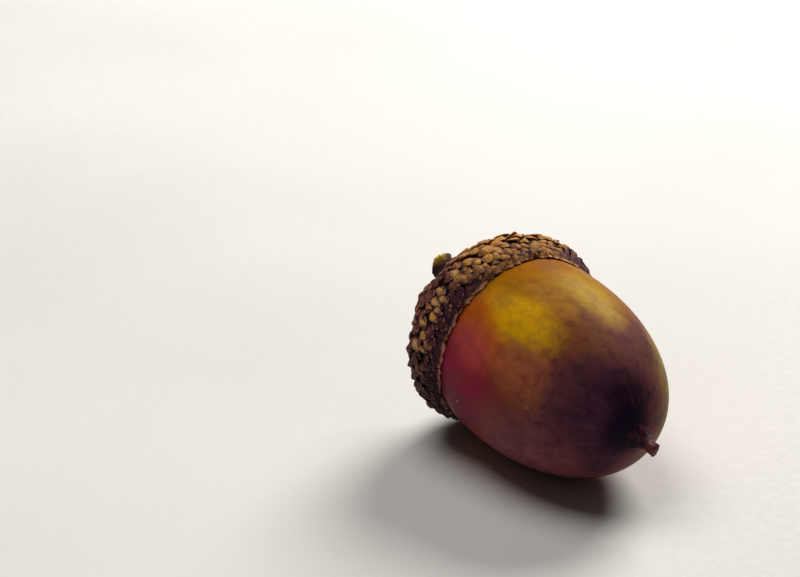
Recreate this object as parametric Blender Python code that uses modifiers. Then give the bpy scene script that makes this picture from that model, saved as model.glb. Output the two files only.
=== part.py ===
"""A ripe acorn, as picked, lying on its side. The smooth nut ends in its dried style, and it
sits loose in a scaly cup that keeps a stub of stalk.

Metres, +Z up. The origin is the middle of the small flat spot that the nut rests on. The
acorn's axis lies in the XZ plane and runs towards +X, a few degrees downhill, because the cup
is wider than the nut and props up its own end.
"""

import math
import random

import bmesh
import bpy
from mathutils import Euler, Matrix, Vector

# The nut. Stations are measured along its axis from its widest ring, towards the point.
NUT_RADIUS = 0.0103
NUT_POINT_STATION = 0.0165
NUT_POINT_POWER = 2.06
NUT_POINT_BLUNTNESS = 2.24
NUT_BACK_REACH = 0.0132
NUT_BACK_POWER = 2.3
NUT_SCAR_STATION = -0.0114
NUT_SIDES = 48
NUT_FRONT_RINGS = 18
NUT_BACK_RINGS = 10

# The dried style on the nut's point: a fluted cone with a blunt, three-lobed end.
STYLE_ROOT_STATION = 0.0158
STYLE_LENGTH = 0.0034
STYLE_ROOT_RADIUS = 0.00195
STYLE_END_RADIUS = 0.00052
STYLE_TAPER = 1.3
STYLE_FLUTES = 7
STYLE_FLUTE_DEPTH = 0.09
STYLE_LOBES = 3
STYLE_LOBE_DEPTH = 0.50
STYLE_LEAN_DOWN = 0.0005
STYLE_LEAN_ASIDE = -0.00015
STYLE_SIDES = 21
STYLE_RINGS = 9

# How the acorn lies: the dip of its point, and the depth of the flat spot on the nut's belly.
DIP = math.radians(6.0)
FLAT_SPOT_DEPTH = 0.00012
BELLY_STEPS = 400

# The cup's wall, under its scales: it bulges behind the rim and closes in a dome.
CUP_RIM_STATION = -0.0038
CUP_RIM_RADIUS = 0.0107
CUP_BULGE_STATION = -0.0061
CUP_BULGE_RADIUS = 0.01095
CUP_POLE_STATION = -0.0133
CUP_SIDES = 40
CUP_RINGS = 12
CUP_CLEARANCE = 0.0003
CUP_MOUTH_STATION = 0.001
CAVITY_RINGS = 12

# The cup grew askew: low on the -Y side its rim is set back and its wall pulled in.
SKEW_TURN = math.radians(-25.0)
SKEW_FALLOFF = 4
SKEW_SETBACK = 0.0016
SKEW_PULL = 0.035

# The scales, each a low hump with its tip towards the rim. Shares run up the wall, from 0 at
# the stalk to 1 at the rim.
SCALE_FIRST_SHARE = 0.09
SCALE_WIDEST_SHARE = 0.60
SCALE_PITCH_AT_STALK = 0.00200
SCALE_PITCH_AT_WIDEST = 0.00215
SCALE_PITCH_AT_RIM = 0.00160
SCALE_LENGTH = 1.35
SCALE_LENGTH_AT_RIM = 1.60
SCALE_WIDTH = 1.08
SCALE_THICKNESS = 0.00130
SCALE_THICKNESS_AT_RIM = 0.00072
SCALE_RISE = 0.30
SCALE_CROWN = 0.10
SCALE_FLARE = 0.14
SCALE_NARROWING = 0.60
SCALE_TILT = math.radians(11.0)
SCALE_TILT_AT_RIM = math.radians(3.0)
SCALE_TWIST = 0.2
SCALE_SIZES = (0.90, 1.12)
SCALE_SIDES = 6
SCALE_SEED = 7
GOLDEN_ANGLE = math.pi * (3.0 - math.sqrt(5.0))

# The stub of stalk: a ribbed woody peg that bends up to its broken, knobbly end.
STALK_ROOT_STATION = -0.0125
STALK_LENGTH = 0.0058
STALK_RADIUS = 0.00105
STALK_ROOT_FLARE = 0.25
STALK_KNOB_SWELL = 0.16
STALK_RIBS = 5
STALK_RIB_DEPTH = 0.06
STALK_BEND = 0.0027
STALK_SIDES = 16
STALK_RINGS = 8

FLOOR_SIZE = 0.05
MERGE = 0.000001
SPECK = 0.00001


# Materials, collections and modifiers


def clear_scene():
    for obj in list(bpy.data.objects):
        bpy.data.objects.remove(obj)


def new_collection(name):
    collection = bpy.data.collections.new(name)
    bpy.context.scene.collection.children.link(collection)
    return collection


def skin(name, colour, roughness):
    material = bpy.data.materials.new(name)
    material.use_nodes = True
    shader = material.node_tree.nodes["Principled BSDF"]
    shader.inputs["Base Color"].default_value = (*colour, 1.0)
    shader.inputs["Roughness"].default_value = roughness
    shader.inputs["Metallic"].default_value = 0.0
    return material


def place(name, mesh, collection, parent=None, material=None):
    obj = bpy.data.objects.new(name, mesh)
    collection.objects.link(obj)
    obj.parent = parent
    if material:
        mesh.materials.append(material)
    return obj


def hide_as_cutter(obj):
    obj.hide_render = True
    obj.display_type = "WIRE"


def turned(name, outline, sides, collection, parent, material=None):
    """A solid turned about local Z from (radius, station) points that run from top to bottom."""
    mesh = bpy.data.meshes.new(name)
    edges = [(i, i + 1) for i in range(len(outline) - 1)]
    mesh.from_pydata([(radius, 0.0, station) for radius, station in outline], edges, [])
    obj = place(name, mesh, collection, parent, material)
    screw = obj.modifiers.new("Turn", "SCREW")
    screw.axis = "Z"
    screw.steps = sides
    screw.render_steps = sides
    screw.use_merge_vertices = True
    screw.merge_threshold = MERGE
    screw.use_smooth_shade = True
    return obj


def cut(obj, cutter, solver="EXACT"):
    modifier = obj.modifiers.new("Cut", "BOOLEAN")
    modifier.operation = "DIFFERENCE"
    modifier.solver = solver
    modifier.object = cutter


def apply_modifiers(obj):
    graph = bpy.context.evaluated_depsgraph_get()
    mesh = bpy.data.meshes.new_from_object(obj.evaluated_get(graph), depsgraph=graph)
    mesh.name = obj.name
    obj.modifiers.clear()
    obj.data = mesh


def fuse(obj, growths, solver="EXACT"):
    """Joins everything in the collection to the object in one union, then clears it away."""
    modifier = obj.modifiers.new("Fuse", "BOOLEAN")
    modifier.operation = "UNION"
    modifier.operand_type = "COLLECTION"
    modifier.collection = growths
    modifier.solver = solver
    apply_modifiers(obj)
    for growth in list(growths.objects):
        bpy.data.objects.remove(growth)
    bpy.data.collections.remove(growths)


def shell_of(start):
    """Every face that shared edges connect to the first one."""
    shell, waiting = {start}, [start]
    while waiting:
        face = waiting.pop()
        for edge in face.edges:
            for other in edge.link_faces:
                if other not in shell:
                    shell.add(other)
                    waiting.append(other)
    return shell


def make_one_shell(obj):
    """Drops loose scraps, and fills the small hollows that crowded scales seal between them."""
    form = bmesh.new()
    form.from_mesh(obj.data)
    bmesh.ops.remove_doubles(form, verts=form.verts[:], dist=SPECK)
    bmesh.ops.triangulate(form, faces=form.faces[:])
    left, largest = set(form.faces), set()
    while left:
        shell = shell_of(next(iter(left)))
        left -= shell
        largest = max(largest, shell, key=len)
    stray = [face for face in form.faces if face not in largest]
    bmesh.ops.delete(form, geom=stray, context="FACES")
    form.to_mesh(obj.data)
    form.free()


def ringed_peg(name, sides, rings, collection, parent):
    """A cylinder of radius 1 and height 1, standing on its origin and cut into rings."""
    form = bmesh.new()
    centre = Matrix.Translation((0.0, 0.0, 0.5))
    bmesh.ops.create_cone(
        form, cap_ends=True, cap_tris=True, segments=sides, radius1=1.0, radius2=1.0, depth=1.0, matrix=centre
    )
    for i in range(1, rings):
        everything = form.verts[:] + form.edges[:] + form.faces[:]
        height = (0.0, 0.0, i / rings)
        bmesh.ops.bisect_plane(form, geom=everything, plane_co=height, plane_no=(0.0, 0.0, 1.0))
    mesh = bpy.data.meshes.new(name)
    form.to_mesh(mesh)
    form.free()
    return place(name, mesh, collection, parent)


def blend(low, high, share):
    return low + (high - low) * min(1.0, max(0.0, share))


# The lie of the acorn


def nut_radius(station):
    if station > 0.0:
        share = min(station / NUT_POINT_STATION, 1.0)
        return NUT_RADIUS * (1.0 - share**NUT_POINT_POWER) ** (1.0 / NUT_POINT_BLUNTNESS)
    return NUT_RADIUS * math.sqrt(1.0 - (-station / NUT_BACK_REACH) ** NUT_BACK_POWER)


def belly():
    """(station, depth under the widest ring's centre) of the nut's lowest point."""

    def depth(station):
        return nut_radius(station) * math.cos(DIP) + station * math.sin(DIP)

    stations = [NUT_POINT_STATION * i / BELLY_STEPS for i in range(BELLY_STEPS)]
    lowest = max(stations, key=depth)
    return lowest, depth(lowest)


def lying_axis(collection):
    """An empty whose local Z is the acorn's axis. Its local X points down, and Y stays level."""
    station, depth = belly()
    axis = bpy.data.objects.new("acorn_axis", None)
    collection.objects.link(axis)
    spot = station * math.cos(DIP) - nut_radius(station) * math.sin(DIP)
    axis.location = (-spot, 0.0, depth - FLAT_SPOT_DEPTH)
    axis.rotation_euler = (0.0, math.pi / 2 + DIP, 0.0)
    bpy.context.view_layer.update()
    return axis


def floor_block(collection):
    """All that is under the surface the acorn lies on."""
    bpy.ops.mesh.primitive_cube_add(size=FLOOR_SIZE, location=(0.0, 0.0, -FLOOR_SIZE / 2))
    block = bpy.context.object
    block.name = "floor_block"
    for owner in list(block.users_collection):
        owner.objects.unlink(block)
    collection.objects.link(block)
    hide_as_cutter(block)
    return block


# The nut and its style


def nut_outline():
    """From the point back to the scar, with the rings closer together where the nut turns in."""
    outline = [(0.0, NUT_POINT_STATION)]
    for i in range(NUT_FRONT_RINGS - 1, 0, -1):
        station = NUT_POINT_STATION * math.sin(math.pi / 2 * i / NUT_FRONT_RINGS)
        outline.append((nut_radius(station), station))
    for i in range(NUT_BACK_RINGS + 1):
        station = NUT_SCAR_STATION * i / NUT_BACK_RINGS
        outline.append((nut_radius(station), station))
    outline.append((0.0, NUT_SCAR_STATION))
    return outline


def add_style(collection, axis):
    style = ringed_peg("style", STYLE_SIDES, STYLE_RINGS, collection, axis)
    for vertex in style.data.vertices:
        x, y, share = vertex.co
        turn = math.atan2(y, x)
        radius = blend(STYLE_END_RADIUS, STYLE_ROOT_RADIUS, (1.0 - share) ** STYLE_TAPER)
        radius *= 1.0 + STYLE_FLUTE_DEPTH * math.sin(math.pi * share) * math.cos(STYLE_FLUTES * turn)
        radius *= 1.0 + STYLE_LOBE_DEPTH * max(0.0, share - 0.6) * math.cos(STYLE_LOBES * turn)
        lean = share**1.3
        height = STYLE_ROOT_STATION + STYLE_LENGTH * share
        vertex.co = (x * radius + STYLE_LEAN_DOWN * lean, y * radius + STYLE_LEAN_ASIDE * lean, height)


def build_nut(collection, axis, floor):
    nut = turned("nut", nut_outline(), NUT_SIDES, collection, axis, skin("nut", (0.33, 0.14, 0.035), 0.28))
    tip = new_collection("tip")
    add_style(tip, axis)
    fuse(nut, tip)
    cut(nut, floor)


# The cup, its scales and its stalk


def cup_radius(station):
    if station > CUP_BULGE_STATION:
        share = (station - CUP_BULGE_STATION) / (CUP_RIM_STATION - CUP_BULGE_STATION)
        return CUP_BULGE_RADIUS + (CUP_RIM_RADIUS - CUP_BULGE_RADIUS) * share**2
    share = (CUP_BULGE_STATION - station) / (CUP_BULGE_STATION - CUP_POLE_STATION)
    return CUP_BULGE_RADIUS * math.sqrt(max(0.0, 1.0 - share**2))


def cup_wall():
    """(radius, station) points down the outside of the wall, from the rim to the pole."""
    stations = [CUP_RIM_STATION, (CUP_RIM_STATION + CUP_BULGE_STATION) / 2]
    for i in range(CUP_RINGS + 1):
        drop = math.sin(math.pi / 2 * i / CUP_RINGS)
        stations.append(CUP_BULGE_STATION + (CUP_POLE_STATION - CUP_BULGE_STATION) * drop)
    return [(cup_radius(station), station) for station in stations]


def wall_steps(pieces=12):
    """Walks up the wall from the pole: (share of the way, length of step, point, direction)."""
    points = [Vector((radius, 0.0, station)) for radius, station in reversed(cup_wall())]
    total = sum((end - start).length for start, end in zip(points, points[1:]))
    travelled = 0.0
    for start, end in zip(points, points[1:]):
        run = (end - start).length
        for i in range(pieces):
            part = (i + 0.5) / pieces
            share = (travelled + run * part) / total
            yield share, run / pieces, start.lerp(end, part), (end - start).normalized()
        travelled += run


def scale_pitch(share):
    """The distance between neighbouring scales."""
    if share < SCALE_WIDEST_SHARE:
        return blend(SCALE_PITCH_AT_STALK, SCALE_PITCH_AT_WIDEST, share / SCALE_WIDEST_SHARE)
    towards_rim = (share - SCALE_WIDEST_SHARE) / (1.0 - SCALE_WIDEST_SHARE)
    return blend(SCALE_PITCH_AT_WIDEST, SCALE_PITCH_AT_RIM, towards_rim)


def scale_places():
    """A spiral that turns by the golden angle at each scale, so the scales cover the wall evenly."""
    room, number = 0.0, 0
    for share, step, point, along in wall_steps():
        if share < SCALE_FIRST_SHARE:
            continue
        pitch = scale_pitch(share)
        room += 2.0 * math.pi * point.x * step / pitch**2
        while number + 0.5 < room:
            yield number * GOLDEN_ANGLE, share, pitch, point, along
            number += 1


def scale_mesh():
    """A hump of unit size, sunk below Z 0. Its tip, at +Y, is the narrow end."""
    form = bmesh.new()
    wide, narrow = 0.5 + SCALE_FLARE, 0.5 - SCALE_FLARE
    quarter_turn = Matrix.Rotation(math.pi / 2, 4, "Z")
    bmesh.ops.create_cone(
        form,
        cap_ends=True,
        cap_tris=True,
        segments=SCALE_SIDES,
        radius1=wide,
        radius2=narrow,
        depth=1.0,
        matrix=quarter_turn,
    )
    for vertex in form.verts:
        x, y, z = vertex.co
        on_axis = math.hypot(x, y) < 0.1
        top = z > 0.0
        height = SCALE_RISE - 0.5 + z
        if top and on_axis:
            height += SCALE_CROWN
        if top and y > -0.1:
            y += 0.06
        vertex.co = (x * (1.0 - SCALE_NARROWING * max(0.0, y)), y, height)
    mesh = bpy.data.meshes.new("scale")
    form.to_mesh(mesh)
    form.free()
    return mesh


def add_scales(collection, axis):
    chance = random.Random(SCALE_SEED)
    mesh = scale_mesh()
    for angle, share, pitch, point, along in scale_places():
        outward = Vector((along.z, 0.0, -along.x))
        wall = Matrix((along.cross(outward), along, outward)).transposed().to_4x4()
        wall.translation = point
        near_rim = (share - SCALE_WIDEST_SHARE) / (1.0 - SCALE_WIDEST_SHARE)
        size = chance.uniform(*SCALE_SIZES)
        thickness = blend(SCALE_THICKNESS, SCALE_THICKNESS_AT_RIM, near_rim) * size
        length = blend(SCALE_LENGTH, SCALE_LENGTH_AT_RIM, near_rim) * pitch * size
        tilt = blend(SCALE_TILT, SCALE_TILT_AT_RIM, near_rim)
        turn = Euler((tilt, 0.0, chance.uniform(-SCALE_TWIST, SCALE_TWIST))).to_matrix().to_4x4()
        stretch = Matrix.Diagonal((SCALE_WIDTH * pitch * size, length, thickness, 1.0))
        scale = place("scale", mesh, collection)
        scale.matrix_world = axis.matrix_world @ Matrix.Rotation(angle, 4, "Z") @ wall @ turn @ stretch


def add_stalk(collection, axis):
    stalk = ringed_peg("stalk", STALK_SIDES, STALK_RINGS, collection, axis)
    for vertex in stalk.data.vertices:
        x, y, share = vertex.co
        swell = 1.0 + STALK_ROOT_FLARE * (1.0 - share) ** 4
        swell += STALK_KNOB_SWELL * max(0.0, math.sin(math.pi * (share - 0.45) / 0.75))
        swell += STALK_RIB_DEPTH * math.sin(math.pi * share) * math.cos(STALK_RIBS * math.atan2(y, x))
        bend = STALK_BEND * share**1.6
        height = STALK_ROOT_STATION - STALK_LENGTH * share
        vertex.co = (x * STALK_RADIUS * swell - bend, -y * STALK_RADIUS * swell, height)


def skew(cup):
    """Sets the rim back and pulls the wall in on one side, less and less towards the pole."""
    for vertex in cup.data.vertices:
        x, y, station = vertex.co
        side = max(0.0, math.cos(math.atan2(y, x) - SKEW_TURN)) ** SKEW_FALLOFF
        share = (station - CUP_POLE_STATION) / (CUP_RIM_STATION - CUP_POLE_STATION)
        amount = side * min(1.0, max(0.0, share))
        pull = 1.0 - SKEW_PULL * amount
        vertex.co = (x * pull, y * pull, station - SKEW_SETBACK * amount)


def cavity_outline():
    """The room for the nut: its own outline with a clearance all round, out past the rim."""
    outline = [(0.0, CUP_MOUTH_STATION)]
    for i in range(CAVITY_RINGS + 1):
        station = blend(CUP_MOUTH_STATION, NUT_SCAR_STATION, i / CAVITY_RINGS)
        outline.append((nut_radius(station) + CUP_CLEARANCE, station))
    floor_station = NUT_SCAR_STATION - CUP_CLEARANCE
    outline.append((nut_radius(NUT_SCAR_STATION), floor_station))
    outline.append((0.0, floor_station))
    return outline


def build_cup(collection, cutters, axis, floor):
    outline = [(0.0, CUP_RIM_STATION), *cup_wall()]
    cup = turned("cup", outline, CUP_SIDES, collection, axis, skin("cup", (0.22, 0.13, 0.07), 0.8))
    growths = new_collection("growths")
    add_scales(growths, axis)
    add_stalk(growths, axis)
    fuse(cup, growths, solver="MANIFOLD")
    skew(cup)
    cavity = turned("cavity", cavity_outline(), NUT_SIDES, cutters, axis)
    hide_as_cutter(cavity)
    cut(cup, cavity, solver="MANIFOLD")
    cut(cup, floor, solver="MANIFOLD")
    apply_modifiers(cup)
    make_one_shell(cup)


clear_scene()
acorn = new_collection("acorn")
cutters = new_collection("cutters")
acorn_axis = lying_axis(acorn)
floor = floor_block(cutters)
build_nut(acorn, acorn_axis, floor)
build_cup(acorn, cutters, acorn_axis, floor)
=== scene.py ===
import math
import random

import bmesh
import bpy
from mathutils import Matrix, Vector, noise


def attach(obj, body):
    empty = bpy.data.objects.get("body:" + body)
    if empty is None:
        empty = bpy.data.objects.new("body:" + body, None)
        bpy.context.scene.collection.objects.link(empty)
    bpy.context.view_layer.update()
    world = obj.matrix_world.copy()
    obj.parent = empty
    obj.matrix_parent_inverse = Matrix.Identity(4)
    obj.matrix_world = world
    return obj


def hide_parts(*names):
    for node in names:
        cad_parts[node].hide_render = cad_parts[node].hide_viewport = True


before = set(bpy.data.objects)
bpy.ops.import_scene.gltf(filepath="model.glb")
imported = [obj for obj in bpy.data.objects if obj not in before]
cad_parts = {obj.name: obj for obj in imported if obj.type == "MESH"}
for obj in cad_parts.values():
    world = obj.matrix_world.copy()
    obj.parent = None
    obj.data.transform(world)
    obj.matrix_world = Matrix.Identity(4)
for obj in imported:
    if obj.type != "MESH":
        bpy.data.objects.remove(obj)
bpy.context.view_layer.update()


# THE NUT
# The smooth seed of an oak, in a leathery shell that grew in one piece, under a thin natural wax.
# It ripens from its cup outwards, from crimson through orange and gold to plum brown, and lies on
# its side with its point a little low. The shell is faintly ribbed from end to end.

NUT_RADIUS = 0.0103
NUT_POINT_STATION = 0.0165
NUT_POINT_POWER = 2.06
NUT_POINT_BLUNTNESS = 2.24
NUT_BACK_REACH = 0.0132
NUT_BACK_POWER = 2.3
NUT_SCAR_STATION = -0.0114
NUT_BACK_ROWS = 0.25  # the share of the rings that lie behind the widest one
NUT_RIB_SCALE = 5.0
NUT_DENT_SCALE = 1.3
NUT_MEAN_DENT = 0.6
NUT_RIB_DRAWN = 0.6  # how far the pattern of ribs moves on from one end to the other
NUT_WELD = 0.000001
WIDEST_RING_CENTRE = Vector((-0.0021814, 0.0, 0.0103008))
DIP = math.radians(6.0)
FLOOR_LIFT = 0.00001

# Stations run along the acorn's axis from the nut's widest ring towards its point. The axis's own
# X points down, its Y stays level, and its Z runs along it.
acorn_axis = Matrix.Translation(WIDEST_RING_CENTRE) @ Matrix.Rotation(math.pi / 2 + DIP, 4, "Y")


def add_node(tree, kind, inputs=None, **settings):
    made = tree.nodes.new(kind)
    for name, value in settings.items():
        setattr(made, name, value)
    for name, value in (inputs or {}).items():
        feed(tree, made.inputs[name], value)
    return made


def feed(tree, socket, value):
    if isinstance(value, bpy.types.NodeSocket):
        tree.links.new(value, socket)
    else:
        socket.default_value = value


def calc(tree, operation, *values, clamp=False):
    """One sum of a tree. Each value is a number or another node's output."""
    made = tree.nodes.new("ShaderNodeMath")
    made.operation = operation
    made.use_clamp = clamp
    for socket, value in zip(made.inputs, values):
        feed(tree, socket, value)
    return made.outputs[0]


def plus(tree, first, second):
    return calc(tree, "ADD", first, second)


def minus(tree, first, second):
    return calc(tree, "SUBTRACT", first, second)


def times(tree, first, *others):
    for value in others:
        first = calc(tree, "MULTIPLY", first, value)
    return first


def vector_calc(tree, operation, *values):
    made = tree.nodes.new("ShaderNodeVectorMath")
    made.operation = operation
    for socket, value in zip(made.inputs, values):
        feed(tree, socket, value)
    return made.outputs["Value" if operation == "LENGTH" else "Vector"]


def stretched(tree, vector, amount):
    made = add_node(tree, "ShaderNodeVectorMath", {0: vector, "Scale": amount}, operation="SCALE")
    return made.outputs[0]


def split_up(tree, vector):
    return add_node(tree, "ShaderNodeSeparateXYZ", {0: vector}).outputs


def join_up(tree, x=0.0, y=0.0, z=0.0):
    return add_node(tree, "ShaderNodeCombineXYZ", {"X": x, "Y": y, "Z": z}).outputs[0]


def lumps(tree, where, seed, scale, detail):
    """A random pattern for a shape, which changes with its seed."""
    inputs = {"Vector": where, "W": seed, "Scale": scale, "Detail": detail}
    return add_node(tree, "ShaderNodeTexNoise", inputs, noise_dimensions="4D").outputs


def new_sockets(tree, inputs, outputs):
    """Named inputs and outputs of a node group, each with its kind, or an input with its number."""
    kinds = {int: "Int", float: "Float"}
    for name, value in inputs.items():
        kind = kinds.get(type(value), value)
        socket = tree.interface.new_socket(name, in_out="INPUT", socket_type="NodeSocket" + kind)
        if kind != value:
            socket.default_value = value
    for name, kind in outputs.items():
        tree.interface.new_socket(name, in_out="OUTPUT", socket_type="NodeSocket" + kind)
    return tree.nodes.new("NodeGroupInput").outputs, tree.nodes.new("NodeGroupOutput").inputs


def growing_sockets(tree, sizes, **others):
    """Sockets of a geometry tree: the geometry, each named size, the material and any others."""
    inputs = {"Geometry": "Geometry", **sizes, "Material": "Material", **others}
    return new_sockets(tree, inputs, {"Geometry": "Geometry"})


def finish_tree(tree, geometry, material, out):
    """Smooths the shape, makes every copy real, sets its material and puts it out."""
    smooth = add_node(tree, "GeometryNodeSetShadeSmooth", {"Geometry": geometry}).outputs[0]
    real = add_node(tree, "GeometryNodeRealizeInstances", {"Geometry": smooth}).outputs[0]
    dressed = add_node(tree, "GeometryNodeSetMaterial", {"Geometry": real, "Material": material})
    tree.links.new(dressed.outputs[0], out["Geometry"])


def show(name, mesh):
    obj = bpy.data.objects.new(name, mesh)
    bpy.context.scene.collection.objects.link(obj)
    return obj


def grow(name, source, tree, values):
    """Runs a geometry tree on a mesh, with the named values, and keeps the result as a plain mesh."""
    obj = show(name, source)
    modifier = obj.modifiers.new("Grow", "NODES")
    modifier.node_group = tree
    for item in tree.interface.items_tree:
        if item.in_out == "INPUT" and item.name in values:
            modifier[item.identifier] = values[item.name]
    graph = bpy.context.evaluated_depsgraph_get()
    mesh = bpy.data.meshes.new_from_object(obj.evaluated_get(graph), depsgraph=graph)
    bpy.data.objects.remove(obj)
    mesh.name = name
    return mesh


def lay_down(mesh, reshape=None):
    """Turns a mesh from the acorn's own axis to where the acorn lies, and rests it on the table."""
    for vertex in mesh.vertices:
        point = reshape(vertex.co) if reshape else vertex.co
        point = acorn_axis @ point
        point.z = max(point.z, FLOOR_LIFT)
        vertex.co = point
    mesh.update()


# The shell is a grid rolled up round the axis: its columns are turns, and its rows are rings.
nut_sizes = {
    "Radius": NUT_RADIUS,
    "Point Station": NUT_POINT_STATION,
    "Point Power": NUT_POINT_POWER,
    "Point Bluntness": NUT_POINT_BLUNTNESS,
    "Back Reach": NUT_BACK_REACH,
    "Back Power": NUT_BACK_POWER,
    "Scar Station": NUT_SCAR_STATION,
    "Sides": 144,
    "Rings": 110,
    "Rib Height": 0.00004,
    "Dent Depth": 0.00010,
    "Seed": 5.0,
}
nut_tree = tree = bpy.data.node_groups.new("Turned Nut", "GeometryNodeTree")
g, out = growing_sockets(tree, nut_sizes)
columns = plus(tree, g["Sides"], 1.0)
sheet = {"Size X": 1.0, "Size Y": 1.0, "Vertices X": columns, "Vertices Y": g["Rings"]}
grid = add_node(tree, "GeometryNodeMeshGrid", sheet)
place = split_up(tree, add_node(tree, "GeometryNodeInputPosition").outputs[0])
turn = times(tree, plus(tree, place["X"], 0.5), 2.0 * math.pi)
row = plus(tree, place["Y"], 0.5)
# The first two rows share a station. The first has no radius, so the scar is closed as a disk.
one_row = calc(tree, "DIVIDE", 1.0, minus(tree, g["Rings"], 1.0))
rise = calc(tree, "DIVIDE", minus(tree, row, one_row), minus(tree, 1.0, one_row))
rise = calc(tree, "MAXIMUM", rise, 0.0)
behind = minus(tree, 1.0, times(tree, rise, 1.0 / NUT_BACK_ROWS))
behind = times(tree, calc(tree, "MAXIMUM", behind, 0.0), g["Scar Station"])
ahead = calc(tree, "DIVIDE", minus(tree, rise, NUT_BACK_ROWS), 1.0 - NUT_BACK_ROWS)
ahead = times(tree, calc(tree, "MAXIMUM", ahead, 0.0), math.pi / 2)
ahead = calc(tree, "SINE", ahead)
station = plus(tree, behind, times(tree, ahead, g["Point Station"]))
front_share = calc(tree, "MINIMUM", calc(tree, "POWER", ahead, g["Point Power"]), 1.0)
blunt = calc(tree, "DIVIDE", 1.0, g["Point Bluntness"])
front = calc(tree, "POWER", minus(tree, 1.0, front_share), blunt)
back_share = calc(tree, "DIVIDE", calc(tree, "ABSOLUTE", behind), g["Back Reach"])
back = minus(tree, 1.0, calc(tree, "POWER", back_share, g["Back Power"]))
radius = times(tree, front, calc(tree, "SQRT", back), g["Radius"])
open_row = calc(tree, "GREATER_THAN", row, times(tree, one_row, 0.5))
radius = times(tree, radius, open_row)
cosine = calc(tree, "COSINE", turn)
sine = calc(tree, "SINE", turn)
around = join_up(tree, cosine, sine, times(tree, rise, NUT_RIB_DRAWN))
ribs = lumps(tree, around, g["Seed"], NUT_RIB_SCALE, 2.0)[0]
dents = lumps(tree, around, g["Seed"], NUT_DENT_SCALE, 0.0)[0]
ribbed = times(tree, minus(tree, ribs, 0.5), g["Rib Height"])
dented = times(tree, minus(tree, dents, NUT_MEAN_DENT), g["Dent Depth"])
fade = calc(tree, "DIVIDE", radius, g["Radius"])
radius = plus(tree, radius, times(tree, plus(tree, ribbed, dented), fade))
x, y = times(tree, radius, cosine), times(tree, radius, sine)
moved = {"Geometry": grid.outputs["Mesh"], "Position": join_up(tree, x, y, station)}
rolled_up = add_node(tree, "GeometryNodeSetPosition", moved).outputs[0]
weld = {"Geometry": rolled_up, "Distance": NUT_WELD}
closed = add_node(tree, "GeometryNodeMergeByDistance", weld).outputs[0]
finish_tree(tree, closed, g["Material"], out)


def paint(red, green, blue):
    """A paint-chart colour, 0 to 255, as the light it sends back."""
    shares = [value / 255 for value in (red, green, blue)]
    light = [((v + 0.055) / 1.055) ** 2.4 if v > 10 / 255 else v / 12.92 for v in shares]
    return (*light, 1.0)


def new_finish(name):
    material = bpy.data.materials.new(name)
    material.use_nodes = True
    return material, material.node_tree, material.node_tree.nodes["Principled BSDF"]


MILLIMETRE = 0.001


def acorn_millimetres(tree):
    """Places on the surface in millimetres on the acorn's own axis: X down, Y level, Z to the point."""
    inputs = {
        "Vector": tree.nodes.new("ShaderNodeTexCoord").outputs["Object"],
        "Location": WIDEST_RING_CENTRE,
        "Rotation": (0.0, math.pi / 2 + DIP, 0.0),
        "Scale": (MILLIMETRE, MILLIMETRE, MILLIMETRE),
    }
    return add_node(tree, "ShaderNodeMapping", inputs, vector_type="TEXTURE").outputs[0]


def far_from(tree, where, centre):
    return vector_calc(tree, "LENGTH", vector_calc(tree, "SUBTRACT", where, centre))


def over(tree, under, colour, mask):
    """Lays one colour over another wherever the mask lets it."""
    made = add_node(tree, "ShaderNodeMix", data_type="RGBA")
    feed(tree, made.inputs[0], mask)
    feed(tree, made.inputs[6], under)
    feed(tree, made.inputs[7], colour)
    return made.outputs[2]


def between(tree, value, low, high, to_low=0.0, to_high=1.0):
    """Eases from one value to another as the input runs from low to high."""
    inputs = {"Value": value, "From Min": low, "From Max": high, "To Min": to_low, "To Max": to_high}
    return add_node(tree, "ShaderNodeMapRange", inputs, interpolation_type="SMOOTHSTEP").outputs[0]


def cloud(tree, where, scale, detail=2.0, roughness=0.5):
    """A soft random pattern, about a half on average."""
    inputs = {"Vector": where, "Scale": scale, "Detail": detail, "Roughness": roughness}
    return add_node(tree, "ShaderNodeTexNoise", inputs).outputs["Fac"]


def flecks(tree, where, scale, detail, roughness, low, high, strength):
    """Flecks of a strength, where a cloud is thick."""
    return between(tree, cloud(tree, where, scale, detail, roughness), low, high, 0.0, strength)


# A soft-edged patch of colour, as on a ripening shell. It is whole out to a share of its reach.
PATCH_CORE = 0.30
patch_group = tree = bpy.data.node_groups.new("Soft Patch", "ShaderNodeTree")
patch_inputs = {"Vector": "Vector", "Centre": "Vector", "Reach": "Vector", "Strength": 1.0}
g, out = new_sockets(tree, patch_inputs, {"Mask": "Float"})
offset = vector_calc(tree, "SUBTRACT", g["Vector"], g["Centre"])
distance = vector_calc(tree, "LENGTH", vector_calc(tree, "DIVIDE", offset, g["Reach"]))
mask = times(tree, between(tree, distance, 1.0, PATCH_CORE), g["Strength"])
tree.links.new(mask, out["Mask"])


def patch(tree, where, centre, reach, strength):
    inputs = {"Vector": where, "Centre": centre, "Reach": reach, "Strength": strength}
    return add_node(tree, "ShaderNodeGroup", inputs, node_tree=patch_group).outputs["Mask"]


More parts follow.
